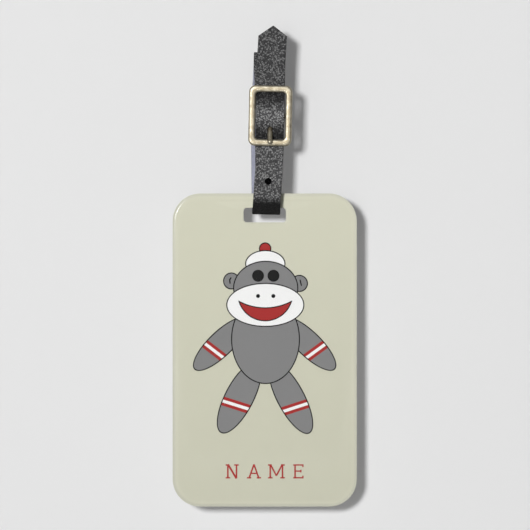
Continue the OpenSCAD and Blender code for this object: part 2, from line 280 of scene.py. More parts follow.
def speckleGroup():
    # fine uneven tone: a broad cloud and a fine grain, both about zero
    tree, into, out = newGroup(
        "speckle",
        [("Vector", "NodeSocketVector", None), ("Cloud Scale", "NodeSocketFloat", 120.0),
         ("Grain Scale", "NodeSocketFloat", 4000.0), ("Cloud", "NodeSocketFloat", 0.1),
         ("Grain", "NodeSocketFloat", 0.1), ("Color", "NodeSocketColor", (0.5, 0.5, 0.5, 1))],
        [("Color", "NodeSocketColor"), ("Value", "NodeSocketFloat")])
    cloud = chain(tree, "ShaderNodeTexNoise", {
        "Vector": into.outputs["Vector"], "Scale": into.outputs["Cloud Scale"], "Detail": 4.0})
    grain = chain(tree, "ShaderNodeTexNoise", {
        "Vector": into.outputs["Vector"], "Scale": into.outputs["Grain Scale"], "Detail": 2.0})
    parts = []
    for noise, amount in ((cloud, "Cloud"), (grain, "Grain")):
        centred = chain(tree, "ShaderNodeMath", {0: noise.outputs[0], 1: 0.5}, operation="SUBTRACT")
        scaled = chain(tree, "ShaderNodeMath", {
            0: centred.outputs[0], 1: into.outputs[amount]}, operation="MULTIPLY")
        parts.append(scaled.outputs[0])
    total = chain(tree, "ShaderNodeMath", {0: parts[0], 1: parts[1]}, operation="ADD")
    factor = chain(tree, "ShaderNodeMath", {0: total.outputs[0], 1: 1.0}, operation="ADD")
    shade = chain(tree, "ShaderNodeVectorMath", {
        0: into.outputs["Color"], "Scale": factor.outputs[0]}, operation="SCALE")
    tree.links.new(shade.outputs[0], out.inputs["Color"])
    tree.links.new(total.outputs[0], out.inputs["Value"])
    return tree


def pebbleGroup():
    # leather pebbles: rounded cells with creases between, a random tone for each cell, and how
    # far it is to the cell's middle
    tree, into, out = newGroup(
        "pebbles",
        [("Vector", "NodeSocketVector", None), ("Scale", "NodeSocketFloat", 2400.0),
         ("Crease", "NodeSocketFloat", 0.4)],
        [("Height", "NodeSocketFloat"), ("Tone", "NodeSocketFloat"), ("Middle", "NodeSocketFloat")])
    warp = chain(tree, "ShaderNodeTexNoise", {
        "Vector": into.outputs["Vector"], "Scale": 1500.0, "Detail": 2.0})
    nudge = chain(tree, "ShaderNodeVectorMath", {0: warp.outputs[1], "Scale": 0.0003}, operation="SCALE")
    moved = chain(tree, "ShaderNodeVectorMath", {
        0: into.outputs["Vector"], 1: nudge.outputs[0]}, operation="ADD")
    cells = chain(tree, "ShaderNodeTexVoronoi", {
        "Vector": moved.outputs[0], "Scale": into.outputs["Scale"]}, feature="DISTANCE_TO_EDGE")
    crown = chain(tree, "ShaderNodeMapRange", {
        "Value": cells.outputs[0], "From Min": 0.0, "From Max": into.outputs["Crease"]},
        interpolation_type="SMOOTHERSTEP")
    tones = chain(tree, "ShaderNodeTexVoronoi", {
        "Vector": moved.outputs[0], "Scale": into.outputs["Scale"]}, feature="F1")
    split = chain(tree, "ShaderNodeSeparateColor", {0: tones.outputs["Color"]})
    tree.links.new(crown.outputs[0], out.inputs["Height"])
    tree.links.new(split.outputs[0], out.inputs["Tone"])
    tree.links.new(tones.outputs["Distance"], out.inputs["Middle"])
    return tree


def wearGroup():
    # where a raised edge is rubbed: the piece's own edge mask, broken up by noise
    tree, into, out = newGroup(
        "edge wear",
        [("Vector", "NodeSocketVector", None), ("Edge", "NodeSocketFloat", 0.0),
         ("Amount", "NodeSocketFloat", 0.5), ("Scale", "NodeSocketFloat", 900.0)],
        [("Mask", "NodeSocketFloat")])
    noise = chain(tree, "ShaderNodeTexNoise", {
        "Vector": into.outputs["Vector"], "Scale": into.outputs["Scale"], "Detail": 5.0})
    rough = remap(tree, noise.outputs[0], 0.35, 0.65)
    lift = chain(tree, "ShaderNodeMath", {0: rough, 1: into.outputs["Amount"]}, operation="MULTIPLY")
    total = chain(tree, "ShaderNodeMath", {0: into.outputs["Edge"], 1: lift.outputs[0]}, operation="ADD")
    mask = remap(tree, total.outputs[0], 0.55, 1.25)
    tree.links.new(mask, out.inputs["Mask"])
    return tree


groups = {"speckle": speckleGroup(), "pebbles": pebbleGroup(), "wear": wearGroup()}


def groupNode(tree, name, inputs):
    node = tree.nodes.new("ShaderNodeGroup")
    node.node_tree = groups[name]
    for key, value in inputs.items():
        if isinstance(value, bpy.types.NodeSocket):
            tree.links.new(value, node.inputs[key])
        else:
            node.inputs[key].default_value = value
    return node


def newMaterial(name):
    material = bpy.data.materials.new(name)
    material.use_nodes = True
    tree = material.node_tree
    tree.nodes.clear()
    out = tree.nodes.new("ShaderNodeOutputMaterial")
    shader = tree.nodes.new("ShaderNodeBsdfPrincipled")
    tree.links.new(shader.outputs[0], out.inputs[0])
    where = tree.nodes.new("ShaderNodeTexCoord").outputs["Object"]
    return material, tree, shader, where, out


def bumped(tree, shader, height, distance, strength=1.0):
    bump = chain(tree, "ShaderNodeBump", {
        "Height": height, "Distance": distance, "Strength": strength})
    tree.links.new(bump.outputs[0], shader.inputs["Normal"])


leatherLook = {
    "grain": (0.034, 0.034, 0.036, 1),
    "speckHighlight": (0.40, 0.40, 0.40, 1),      # painted highlights on the tops of the pebbles
    "specks": (0.62, 0.28),                  # a painted highlight on a pebble top fades out between these, in cells
    "deepest": 0.03,                         # tone left where the painted shade is deepest, at bends and at the slot
    "inside": (0.020, 0.020, 0.023, 1),      # dark backing
    "edgeBlue": (0.36, 0.37, 0.46, 1),          # blue-grey laid over the backing towards its edges
    "lap": 0.62,                             # where the blue-grey starts, as a share of the half width
    "roughness": (0.34, 0.50),
    "dulling": 0.6,                          # rougher where it bends
    "gloss": 0.45,
    "pebble": 1900.0,                        # cells to the metre
    "depth": 0.00014,
}


def leatherMaterial():
    material, tree, shader, where, _ = newMaterial("black pebbled leather")
    pebbles = groupNode(tree, "pebbles", {"Vector": where, "Scale": leatherLook["pebble"]})
    cloud = groupNode(tree, "speckle", {
        "Vector": where, "Cloud Scale": 260.0, "Grain Scale": 5200.0, "Cloud": 0.5, "Grain": 0.7,
        "Color": leatherLook["grain"]})
    # pale specks on the pebble tops are painted highlights, laid into the base colour
    pale = remap(tree, pebbles.outputs["Tone"], 0.0, 0.5)
    spot = remap(tree, pebbles.outputs["Middle"], *leatherLook["specks"])
    tops = chain(tree, "ShaderNodeMath", {0: pale, 1: spot}, operation="MULTIPLY").outputs[0]
    highlighted = mixColour(tree, tops, cloud.outputs["Color"], leatherLook["speckHighlight"])
    # painted shade: the skin's colour is darkened by the shade attribute, down to the deepest tone
    shade = chain(tree, "ShaderNodeAttribute", attribute_name="shade").outputs["Fac"]
    light = remap(tree, shade, 0.0, 1.0, 1.0, leatherLook["deepest"])
    skin = chain(tree, "ShaderNodeVectorMath", {0: highlighted, "Scale": light}, operation="SCALE").outputs[0]
    inside = chain(tree, "ShaderNodeAttribute", attribute_name="inside").outputs["Fac"]
    lap = chain(tree, "ShaderNodeAttribute", attribute_name="lap").outputs["Fac"]
    ragged = chain(tree, "ShaderNodeMath", {
        0: cloud.outputs["Value"], 1: 0.12, 2: lap}, operation="MULTIPLY_ADD").outputs[0]
    fibres = groupNode(tree, "speckle", {
        "Vector": where, "Cloud Scale": 500.0, "Grain Scale": 9000.0, "Cloud": 0.25, "Grain": 0.5,
        "Color": leatherLook["edgeBlue"]})
    edgeBlueMask = remap(tree, ragged, leatherLook["lap"], leatherLook["lap"] + 0.06)
    backing = mixColour(tree, edgeBlueMask, leatherLook["inside"], fibres.outputs["Color"])
    isInside = remap(tree, inside, 0.35, 0.65)
    colour = mixColour(tree, isInside, skin, backing)
    tree.links.new(colour, shader.inputs["Base Color"])
    rough = remap(tree, pebbles.outputs["Tone"], 0.0, 1.0, *leatherLook["roughness"])
    bend = chain(tree, "ShaderNodeAttribute", attribute_name="bend").outputs["Fac"]
    dull = chain(tree, "ShaderNodeMath", {0: isInside, 1: bend}, operation="MAXIMUM").outputs[0]
    worn = chain(tree, "ShaderNodeMath", {0: dull, 1: shade}, operation="MAXIMUM").outputs[0]
    dulled = chain(tree, "ShaderNodeMath", {
        0: worn, 1: leatherLook["dulling"], 2: rough}, operation="MULTIPLY_ADD").outputs[0]
    tree.links.new(dulled, shader.inputs["Roughness"])
    shader.inputs["Specular IOR Level"].default_value = leatherLook["gloss"]
    bumped(tree, shader, pebbles.outputs["Height"], leatherLook["depth"])
    return material


brassLook = {
    "bright": (0.545, 0.50, 0.39, 1),
    "dull": (0.29, 0.25, 0.175, 1),
    "brush": 2600.0,
}


def brassMaterial():
    material, tree, shader, where, _ = newMaterial("antique brass")
    edge = chain(tree, "ShaderNodeAttribute", attribute_name="edge").outputs["Fac"]
    wear = groupNode(tree, "wear", {"Vector": where, "Edge": edge, "Amount": 0.7, "Scale": 700.0})
    cloud = groupNode(tree, "speckle", {
        "Vector": where, "Cloud Scale": 420.0, "Grain Scale": 3200.0, "Cloud": 0.5, "Grain": 0.9,
        "Color": brassLook["dull"]})
    colour = mixColour(tree, wear.outputs["Mask"], cloud.outputs["Color"], brassLook["bright"])
    tree.links.new(colour, shader.inputs["Base Color"])
    shader.inputs["Metallic"].default_value = 1.0
    rough = chain(tree, "ShaderNodeMath", {
        0: cloud.outputs["Value"], 1: 0.5, 2: 0.52}, operation="MULTIPLY_ADD").outputs[0]
    tree.links.new(rough, shader.inputs["Roughness"])
    stretch = chain(tree, "ShaderNodeMapping", {"Vector": where, "Scale": (1.0, 1.0, 0.12)})
    brush = chain(tree, "ShaderNodeTexNoise", {
        "Vector": stretch.outputs[0], "Scale": brassLook["brush"], "Detail": 3.0})
    bumped(tree, shader, brush.outputs[0], 0.00002, 0.6)
    return material


acrylicLook = {
    "tint": (0.983, 0.983, 0.983, 1),
    "rimShade": (0.94, 0.94, 0.955, 1),     # painted shade through the rounded rim
    "lineHighlight": (1.0, 1.0, 1.0, 1),        # and a painted highlight along the pale line inside it
    "roughness": 0.06, "rimRoughness": 0.5, "rimSheen": 0.3, "ior": 1.49,
}


def acrylicMaterial():
    # clear plastic: what lies behind, and over it the sheen of a smooth surface
    material, tree, shader, where, out = newMaterial("clear acrylic")
    shader.inputs["Base Color"].default_value = (1, 1, 1, 1)
    shader.inputs["Metallic"].default_value = 1.0
    smear = groupNode(tree, "speckle", {
        "Vector": where, "Cloud Scale": 60.0, "Grain Scale": 900.0, "Cloud": 0.1, "Grain": 0.03})
    rim = chain(tree, "ShaderNodeAttribute", attribute_name="rim").outputs["Fac"]
    base = remap(tree, rim, 0, 1, acrylicLook["roughness"], acrylicLook["rimRoughness"])
    rough = chain(tree, "ShaderNodeMath", {
        0: smear.outputs["Value"], 1: base}, operation="ADD").outputs[0]
    tree.links.new(rough, shader.inputs["Roughness"])
    clear = tree.nodes.new("ShaderNodeBsdfTransparent")
    line = chain(tree, "ShaderNodeAttribute", attribute_name="line").outputs["Fac"]
    # painted shade through the rim and a painted highlight along the line, set in the clear colour
    edged = mixColour(tree, rim, acrylicLook["tint"], acrylicLook["rimShade"])
    tree.links.new(mixColour(tree, line, edged, acrylicLook["lineHighlight"]), clear.inputs["Color"])
    facing = tree.nodes.new("ShaderNodeNewGeometry").outputs["Backfacing"]
    index = remap(tree, facing, 0.0, 1.0, acrylicLook["ior"], 1.0)
    fresnel = chain(tree, "ShaderNodeFresnel", {"IOR": index}).outputs[0]
    share = remap(tree, rim, 0.0, 1.0, 1.0, acrylicLook["rimSheen"])
    sheen = chain(tree, "ShaderNodeMath", {0: fresnel, 1: share}, operation="MULTIPLY").outputs[0]
    mix = tree.nodes.new("ShaderNodeMixShader")
    tree.links.new(sheen, mix.inputs[0])
    tree.links.new(clear.outputs[0], mix.inputs[1])
    tree.links.new(shader.outputs[0], mix.inputs[2])
    tree.links.new(mix.outputs[0], out.inputs[0])
    return material


def printMaterial(name, colour, falloff=None, grain=0.03):
    # matt ink on card; the optional painted shade darkens it towards the foot, to this share of the tone
    # at the top
    material, tree, shader, where, _ = newMaterial(name)
    fibres = groupNode(tree, "speckle", {
        "Vector": where, "Cloud Scale": 90.0, "Grain Scale": 7000.0, "Cloud": 0.02, "Grain": grain,
        "Color": colour})
    result = fibres.outputs["Color"]
    # painted shade: darker towards the foot of the card
    if falloff:
        height = chain(tree, "ShaderNodeSeparateXYZ", {0: where}).outputs["Z"]
        shadeToFoot = remap(tree, height, coreHigh[2] * mm, coreLow[2] * mm, 1.0, falloff)
        shade = chain(tree, "ShaderNodeVectorMath", {0: result, "Scale": shadeToFoot}, operation="SCALE")
        result = shade.outputs[0]
    tree.links.new(result, shader.inputs["Base Color"])
    shader.inputs["Roughness"].default_value = 0.7
    shader.inputs["Specular IOR Level"].default_value = 0.08
    bumped(tree, shader, fibres.outputs["Value"], 0.00001, 0.3)
    return material


def plasticMaterial(name, colour, glow=0.0):
    # glow is seen only by the camera
    material, tree, shader, where, _ = newMaterial(name)
    mottled = groupNode(tree, "speckle", {
        "Vector": where, "Cloud Scale": 80.0, "Grain Scale": 3000.0, "Cloud": 0.03, "Grain": 0.03,
        "Color": colour})
    tree.links.new(mottled.outputs["Color"], shader.inputs["Base Color"])
    shader.inputs["Roughness"].default_value = 0.38
    shader.inputs["Emission Color"].default_value = (1, 1, 1, 1)
    if glow:
        seen = tree.nodes.new("ShaderNodeLightPath").outputs["Is Camera Ray"]
        strength = chain(tree, "ShaderNodeMath", {0: seen, 1: glow}, operation="MULTIPLY").outputs[0]
        tree.links.new(strength, shader.inputs["Emission Strength"])
    bumped(tree, shader, mottled.outputs["Value"], 0.00002, 0.3)
    return material


def backdropMaterial():
    # pale and matt from the front; from behind, to lamps and to bounced light, it isn't there
    material, tree, shader, where, out = newMaterial("backdrop")
    mottled = groupNode(tree, "speckle", {
        "Vector": where, "Cloud Scale": 12.0, "Grain Scale": 900.0, "Cloud": 0.01, "Grain": 0.01,
        "Color": (*lights["backdrop"], 1)})
    tree.links.new(mottled.outputs["Color"], shader.inputs["Base Color"])
    shader.inputs["Roughness"].default_value = 0.9
    shader.inputs["Specular IOR Level"].default_value = 0.1
    shader.inputs["Emission Color"].default_value = (1, 1, 1, 1)
    shader.inputs["Emission Strength"].default_value = lights["backdropGlow"]
    clear = tree.nodes.new("ShaderNodeBsdfTransparent")
    facing = tree.nodes.new("ShaderNodeNewGeometry")
    rays = tree.nodes.new("ShaderNodeLightPath")
    passing = chain(tree, "ShaderNodeMath", {
        0: rays.outputs["Is Diffuse Ray"], 1: rays.outputs["Is Shadow Ray"]}, operation="MAXIMUM")
    either = chain(tree, "ShaderNodeMath", {
        0: facing.outputs["Backfacing"], 1: passing.outputs[0]}, operation="MAXIMUM")
    mix = tree.nodes.new("ShaderNodeMixShader")
    tree.links.new(either.outputs[0], mix.inputs[0])
    tree.links.new(shader.outputs[0], mix.inputs[1])
    tree.links.new(clear.outputs[0], mix.inputs[2])
    tree.links.new(mix.outputs[0], out.inputs[0])
    return material


leather = leatherMaterial()
brass = brassMaterial()
acrylic = acrylicMaterial()
whitePlastic = plasticMaterial("white plastic", (0.84, 0.84, 0.82, 1))
# the sage card carries painted shade, darker towards its foot
sage = printMaterial("sage card", (0.690, 0.686, 0.550, 1), falloff=0.89)
inks = {
    "print_grey": printMaterial("grey ink", (0.25, 0.25, 0.25, 1), grain=0.04),
    "print_white": printMaterial("white ink", (0.94, 0.94, 0.93, 1)),
    "print_red": printMaterial("red ink", (0.42, 0.036, 0.034, 1), grain=0.06),
    "print_black": printMaterial("black ink", (0.012, 0.012, 0.012, 1), grain=0.1),
}
cardStock = printMaterial("card stock", (0.90, 0.89, 0.84, 1), grain=0.05)
print("finishes made")


stageSize = {"half": 3.2, "behind": 6.8, "below": 12.0}  # metres, then mm off strap and tag


def makeStage():
    half = stageSize["half"]
    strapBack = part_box("strap")[1][1] + stageSize["behind"] * mm
    foot = cadLow[2] - stageSize["below"] * mm
    wall = addPiece("backdrop", np.array([
        [-half, strapBack, foot], [half, strapBack, foot],
        [half, strapBack, foot + 2 * half], [-half, strapBack, foot + 2 * half]]) / mm,
        [[0, 1, 2, 3]])
    if wall.data.polygons[0].normal.y > 0:
        wall.data.flip_normals()
    wall.data.materials.append(backdropMaterial())
    floor = addPiece("floor", np.array([
        [-half, -half, foot], [half, -half, foot], [half, half, foot], [-half, half, foot]]) / mm,
        [[0, 1, 2, 3]])
    if floor.data.polygons[0].normal.z < 0:
        floor.data.flip_normals()
    floor.data.materials.append(
        plasticMaterial("pale floor", (0.50, 0.50, 0.50, 1), lights["floorGlow"]))


makeStage()
print("stage made")


strapSize = {
    "width": 9.3, "thick": 1.3, "loopGap": 4.5, "turnGap": 0.24,
    "layerGap": 0.05, "pinGap": 0.05, "barRadius": 0.9,
    "buckleHeight": 19.7, "endBar": 2.2, "wrapEnd": 10.0,
    "shoulder": 8.8, "point": 3.3, "lowTaper": 0.15,
    "tailX": (0.5, 0.97, 0.92, 1.27),    # sideways place at slot, above it, at loop and shoulder
    "aboveSlot": 9.8,                    # the height over the slot of the second of these
    "rearX": (-0.1, -0.4, 0.2),          # the same for the rear layer at loop, middle and slot
    "edgeRound": 0.32, "cup": 0.14,      # soft edges, and a slight hollow below the buckle
    "tiltPale": 0.0, "tiltDark": 0.48,   # painted shade: the skin is darkest where it slopes in by this much
    "slotShade": (0.0, 3.2),             # painted shade: it darkens from below the tag's edge, over this height
    "evenLow": 0.28, "evenHigh": 0.46,   # slighter painted shade below and above the buckle
    "rearHeights": (-26, -10),           # it keeps its middle place between these
    "sweep": (0.3, 5.9), "sweepX": 0.6,  # the front layer eases back from the bar between these
    "spareHole": 1.15, "spareRise": 3.9, "holeReach": 9,
    "bridge": 4.7, "tagThick": 3.6,
}


def strapLevels():
    # the depths and heights that the strap's layers keep, in its upright frame
    s = strapSize
    half = s["thick"] / 2
    rear = s["loopGap"] / 2 + half
    layer = s["thick"] + s["layerGap"]
    bar = unleaned(barMiddle)
    wrap = s["barRadius"] + s["pinGap"] + half
    inner = s["buckleHeight"] / 2 - s["endBar"]
    return {
        "rear": rear, "tail": -rear - layer, "back": layer - rear, "wrap": wrap,
        "turn": math.hypot(s["tagThick"], s["bridge"]) / 2 + s["turnGap"] + half,
        "barX": bar[0], "barY": bar[1], "barZ": bar[2], "over": bar[1] - wrap - layer,
        "low": bar[2] - inner, "high": bar[2] + inner,
        "bridgeY": tagMiddle[1], "bridgeZ": tagMiddle[2],
    }


levels = strapLevels()


def blend(a, b, t):
    return a + (b - a) * t


def tailPlace(z):
    stops = (levels["bridgeZ"], levels["bridgeZ"] + strapSize["aboveSlot"], 0, strapSize["shoulder"])
    return np.interp(z, stops, strapSize["tailX"])


def strapRoute():
    # Middle line of the leather, as rows of x, y, z and half width. With a from 0 to pi:
    # round the bar (y, z) = (barY + wrap cos a, barZ - wrap sin a), over the top
    # (-rear cos a, rear sin a), round the bridge (bridgeY + turn cos a, bridgeZ - turn sin a);
    # from the slot to the buckle y = y0 + (y1 - y0)(1 - cos pi t)/2, and over the centre bar
    # y = tail + (over - tail) sin pi t.
    s, k = strapSize, levels
    half = s["width"] / 2
    low = half - s["lowTaper"]
    bow = np.linspace(0, np.pi, 41)
    t = np.linspace(0, 1, 25)
    parts = []

    def add(x, y, z, w=half):
        parts.append(np.stack(np.broadcast_arrays(x, y, z, w), -1).astype(float))

    add(k["barX"], k["back"], np.linspace(k["barZ"] + s["wrapEnd"], k["barZ"] + 0.4, 24))
    add(k["barX"], k["barY"] + k["wrap"] * np.cos(bow), k["barZ"] - k["wrap"] * np.sin(bow))
    add(blend(k["barX"], s["sweepX"], t), blend(k["barY"] - k["wrap"], -k["rear"], easing(t)),
        k["barZ"] + blend(*s["sweep"], t))
    t = np.linspace(0.04, 1, 20)
    add(blend(s["sweepX"], s["rearX"][0], t), -k["rear"], blend(k["barZ"] + s["sweep"][1], -0.3, t))
    add(s["rearX"][0], -k["rear"] * np.cos(bow), k["rear"] * np.sin(bow))
    z = np.linspace(-0.8, k["bridgeZ"] + 0.8, 70)
    places = (s["rearX"][2], s["rearX"][1], s["rearX"][1], s["rearX"][0])
    add(np.interp(z, (k["bridgeZ"], *s["rearHeights"], 0), places), k["rear"], z)
    t = bow / np.pi
    add(blend(s["rearX"][2], s["tailX"][0], t), k["bridgeY"] + k["turn"] * np.cos(bow),
        k["bridgeZ"] - k["turn"] * np.sin(bow), blend(half, low, t))
    face = k["bridgeY"] - k["turn"]
    foot, top = k["low"] + 0.2, k["high"] - 0.2
    z = np.linspace(k["bridgeZ"] + 0.3, k["bridgeZ"] + 2.9, 8)
    add(tailPlace(z), face, z, low)
    t = np.linspace(0, 1, 44)
    z = blend(k["bridgeZ"] + 3, foot - 2.5, t)
    add(tailPlace(z), blend(face, k["tail"], easing(t)), z, blend(low, half, easing(2 * t - 1)))
    z = np.linspace(foot - 2.3, foot - 0.2, 6)
    add(tailPlace(z), k["tail"], z)
    t = np.linspace(0, 1, 70)
    z = blend(foot, top, t)
    add(tailPlace(z), blend(k["tail"], k["over"], np.sin(np.pi * t)), z)
    z = np.linspace(top + 0.2, s["shoulder"] - 0.02, 50)
    add(tailPlace(z), k["tail"], z)
    u = np.linspace(0, 1, 14)
    add(s["tailX"][3] + 0.15 * u, k["tail"], s["shoulder"] + s["point"] * u, blend(half, 0.2, u))
    return np.concatenate(parts)


def sectionTemplate(facePoints, cornerPoints):
    # unit rounded rectangle: share of the straight half side across and through, and the
    # corner's outward way, turning from the grain side's right corner to the left
    rows = []
    for k, (sx, sy) in enumerate([(1, 1), (-1, 1), (-1, -1), (1, -1)]):
        a = np.radians(np.linspace(90 * k, 90 * k + 90, cornerPoints))
        rows.append(np.stack([0 * a + sx, 0 * a + sy, np.cos(a), np.sin(a)], -1))
        if k % 2 == 0:
            across = np.linspace(sx, -sx, facePoints + 2)[1:-1]
            rows.append(np.stack([across, 0 * across + sy, 0 * across, 0 * across + sy], -1))
    return np.concatenate(rows).T


def makeStrap():
    # the rounded rectangle carried along the route: x = x0 + f (w - r) + r cos a across it
    # and d = g (thick/2 - r) + r sin a through it, hollowed by cup f^2 below the buckle
    s = strapSize
    route = strapRoute()
    step = np.gradient(route[:, 1:3], axis=0)
    along = step / np.linalg.norm(step, axis=1)[:, None]
    normal = np.stack([-along[:, 1], along[:, 0]], -1)
    f, g, cu, cv = sectionTemplate(24, 5)
    halfT = s["thick"] / 2
    radius = np.minimum(s["edgeRound"], 0.9 * route[:, 3])[:, None]
    across = f * (route[:, 3:4] - radius) + radius * cu
    through = g * (halfT - radius) + radius * cv
    isLow = (route[:, 1] < 0) & (route[:, 2] > levels["bridgeZ"]) & (route[:, 2] < levels["low"])
    climb = (route[:, 2] - levels["bridgeZ"]) / (levels["low"] - levels["bridgeZ"])
    falloff = np.sin(np.pi * np.clip(climb, 0, 1))
    through = through + (s["cup"] * isLow * falloff)[:, None] * f ** 2
    points = np.stack([
        route[:, 0:1] + across,
        route[:, 1:2] + through * normal[:, 0:1],
        route[:, 2:3] + through * normal[:, 1:2]], -1)
    rows, cols = across.shape
    inside = np.broadcast_to((cv < -0.5).astype(float), (rows, cols))
    lap = np.abs(across) / route[:, 3:4]
    turn = np.linalg.norm(np.gradient(along, axis=0), axis=1) / np.linalg.norm(step, axis=1)
    bend = np.broadcast_to(np.clip(turn * 3, 0, 1)[:, None], (rows, cols))
    # painted shade, kept in the shade attribute: darker where the front layer slopes in, towards the
    # slot, and below and above the buckle
    tilt = easing((np.abs(along[:, 0]) - s["tiltPale"]) / (s["tiltDark"] - s["tiltPale"]))
    drop = np.clip((coreHigh[2] - s["slotShade"][0] - route[:, 2]) / s["slotShade"][1], 0, 1)
    even = np.interp(route[:, 2], (levels["low"], levels["low"] + 1, levels["high"], levels["high"] + 1),
                     (s["evenLow"], 0, 0, s["evenHigh"]))
    dark = np.maximum(np.maximum(tilt * (route[:, 1] < levels["tail"] + 0.4), drop), even)
    shade = np.broadcast_to(dark[:, None], (rows, cols))
    return addPiece("strapLeather", leaned(points), tubeFaces(rows, cols), {
        "inside": inside, "lap": lap, "bend": bend, "shade": shade})


def punch(obj, cutter):
    tool = obj.modifiers.new("punch", "BOOLEAN")
    tool.operation = "DIFFERENCE"
    tool.solver = "EXACT"
    tool.object = cutter
    graph = bpy.context.evaluated_depsgraph_get()
    cutMesh = bpy.data.meshes.new_from_object(obj.evaluated_get(graph))
    obj.modifiers.clear()
    cutMesh.name = obj.name
    obj.data = cutMesh
    bpy.data.objects.remove(cutter)


def roundRod(name, path, radii, sides=40, attributes=None):
    # circles of the given radii square to a path in one upright plane, closed at both ends
    path, radii = np.asarray(path, float), np.asarray(radii, float)
    step = np.gradient(path, axis=0)
    along = step / np.linalg.norm(step, axis=1)[:, None]
    side = np.array([1.0, 0, 0])
    up = np.cross(along, side)
    w = np.linspace(0, 2 * np.pi, sides, endpoint=False)
    ring = np.cos(w)[None, :, None] * side + np.sin(w)[None, :, None] * up[:, None]
    points = path[:, None] + radii[:, None, None] * ring
    values = {key: np.repeat(v, sides) for key, v in (attributes or {}).items()}
    return addPiece(name, leaned(points), tubeFaces(len(path), sides), values, sharpAngle=60)


prongSize = {
    "start": (-0.3, -1.2), "rise": 1.35, "proud": 0.7,
    "frameThick": 1.8, "frameGap": 0.1, "width": 1.9, "eyeWall": 0.7, "radius": 0.85,
    "room": 0.15, "groove": 0.1, "lifts": (0, 2.5, 5),
    "eyeRoom": 0.3, "eyeOver": 0.04,  # the wrap's slot, wider than the eye and just through it
}


def tongueRoute():
    s, k = prongSize, levels
    frameBack = k["tail"] - strapSize["thick"] / 2 - s["frameGap"]
    a = np.array([k["barX"], k["barY"] + s["start"][0], k["barZ"] + s["start"][1]])
    b = np.array([k["barX"], frameBack - s["frameThick"] - s["proud"],
                  k["barZ"] - strapSize["buckleHeight"] / 2 + s["rise"]])
    return a + (b - a) * np.linspace(0, 1, 40)[:, None]


def tongueWithTip(radius, taper=0.0):
    # the route, then a half ball: radius r cos a at r sin a past the end
    route = tongueRoute()
    gone = np.linspace(0, 1, len(route))
    body = radius * (1 - taper * gone)
    run = (route[-1] - route[-2]) / np.linalg.norm(route[-1] - route[-2])
    a = np.linspace(0, np.pi / 2, 13)[1:]
    tip = route[-1] + body[-1] * np.sin(a)[:, None] * run
    radii = np.concatenate([body, np.maximum(body[-1] * np.cos(a), 0.015)])
    return np.concatenate([route, tip]), radii


def turnedAboutBar(points, degrees):
    a = math.radians(-degrees)
    y, z = points[:, 1] - levels["barY"], points[:, 2] - levels["barZ"]
    return np.stack([
        points[:, 0], levels["barY"] + y * math.cos(a) - z * math.sin(a),
        levels["barZ"] + y * math.sin(a) + z * math.cos(a)], -1)


def punchStrap(strap):
    # a spare hole, a slot in the wrap for the prong's eye, and room for the lifting tongue
    s, k = strapSize, levels
    rings, sides = 5, 48
    z = k["bridgeZ"] + s["bridge"] / 2 + s["spareRise"]
    reach = np.linspace(0, -s["holeReach"], rings)
    hole = np.stack([0 * reach + tailPlace(z), k["bridgeY"] + reach, 0 * reach + z], -1)
    step = np.radians(np.linspace(0, 360, sides, endpoint=False))
    ring = s["spareHole"] * np.stack([np.cos(step), 0 * step, np.sin(step)], -1)
    faces = tubeFaces(rings, sides)
    punch(strap, addPiece("cutter", leaned(hole[:, None] + ring), faces))
    wide = (prongSize["width"] + prongSize["eyeRoom"]) / 2
    reach = k["wrap"] + s["thick"] / 2 + prongSize["eyeOver"]
    bar = np.array([k["barX"], k["barY"], k["barZ"]])
    ring = reach * np.stack([0 * step, np.cos(step), np.sin(step)], -1)
    slot = np.array([[bar + ring + [x, 0, 0]] for x in np.linspace(-wide, wide, rings)])
    punch(strap, addPiece("cutter", leaned(slot), faces))
    route, radii = tongueWithTip(prongSize["radius"] + prongSize["room"])
    for lift in prongSize["lifts"]:
        punch(strap, roundRod("cutter", turnedAboutBar(route, lift), radii))


strap = makeStrap()
punchStrap(strap)
strap.data.set_sharp_from_angle(angle=math.radians(40))
settle(strap, "strap", "black_leather", leather, "strap")
print("strap made")


buckleSize = {
    "width": 14.1, "rail": 2.2, "thick": 1.8,
    "outerRound": 2.1, "innerRound": 1.1, "softness": 3.0, "lugRadius": 1.6,
}


def softPower(value, softness):
    return np.sign(value) * np.abs(value) ** (2 / softness)


def makeBuckle():
    # p = middle + half (cos v)^(2/n) between the outer and inner rounded rectangles,
    # y = y0 - thick/2 (sin v)^(2/n)
    s, k = buckleSize, levels
    height = strapSize["buckleHeight"]
    outer, _ = roundRectLoop(s["width"], height, s["outerRound"], 17, 28)
    inner, _ = roundRectLoop(
        s["width"] - 2 * s["rail"], height - 2 * strapSize["endBar"], s["innerRound"], 17, 28)
    v = np.linspace(0, 2 * np.pi, 40, endpoint=False)
    a, b = softPower(np.cos(v), s["softness"]), softPower(np.sin(v), s["softness"])
    flat = ((outer + inner) / 2)[:, None] + ((outer - inner) / 2)[:, None] * a[None, :, None]
    centreY = k["tail"] - strapSize["thick"] / 2 - prongSize["frameGap"] - s["thick"] / 2
    depth = np.broadcast_to(b * s["thick"] / 2, flat.shape[:2])
    points = np.stack([k["barX"] + flat[..., 0], centreY - depth, k["barZ"] + flat[..., 1]], -1)
    edge = np.broadcast_to(np.minimum(np.abs(a), np.abs(b)) / 0.8, flat.shape[:2])
    faces = gridFaces(len(outer), 40, wrapRows=True, wrapCols=True)
    ring = addPiece("buckleRing", leaned(points), faces, {"edge": edge}, sharpAngle=60)
    punch(ring, roundRod("cutter", *tongueWithTip(prongSize["radius"] + prongSize["groove"])))
    ring.data.set_sharp_from_angle(angle=math.radians(50))
    settle(ring, "strap", "antique_brass", brass, "buckle_frame")
    for side, name in ((-1, "buckleLugLeft"), (1, "buckleLugRight")):
        makeLug(name, side * (s["width"] - s["rail"]) / 2 + k["barX"], centreY)


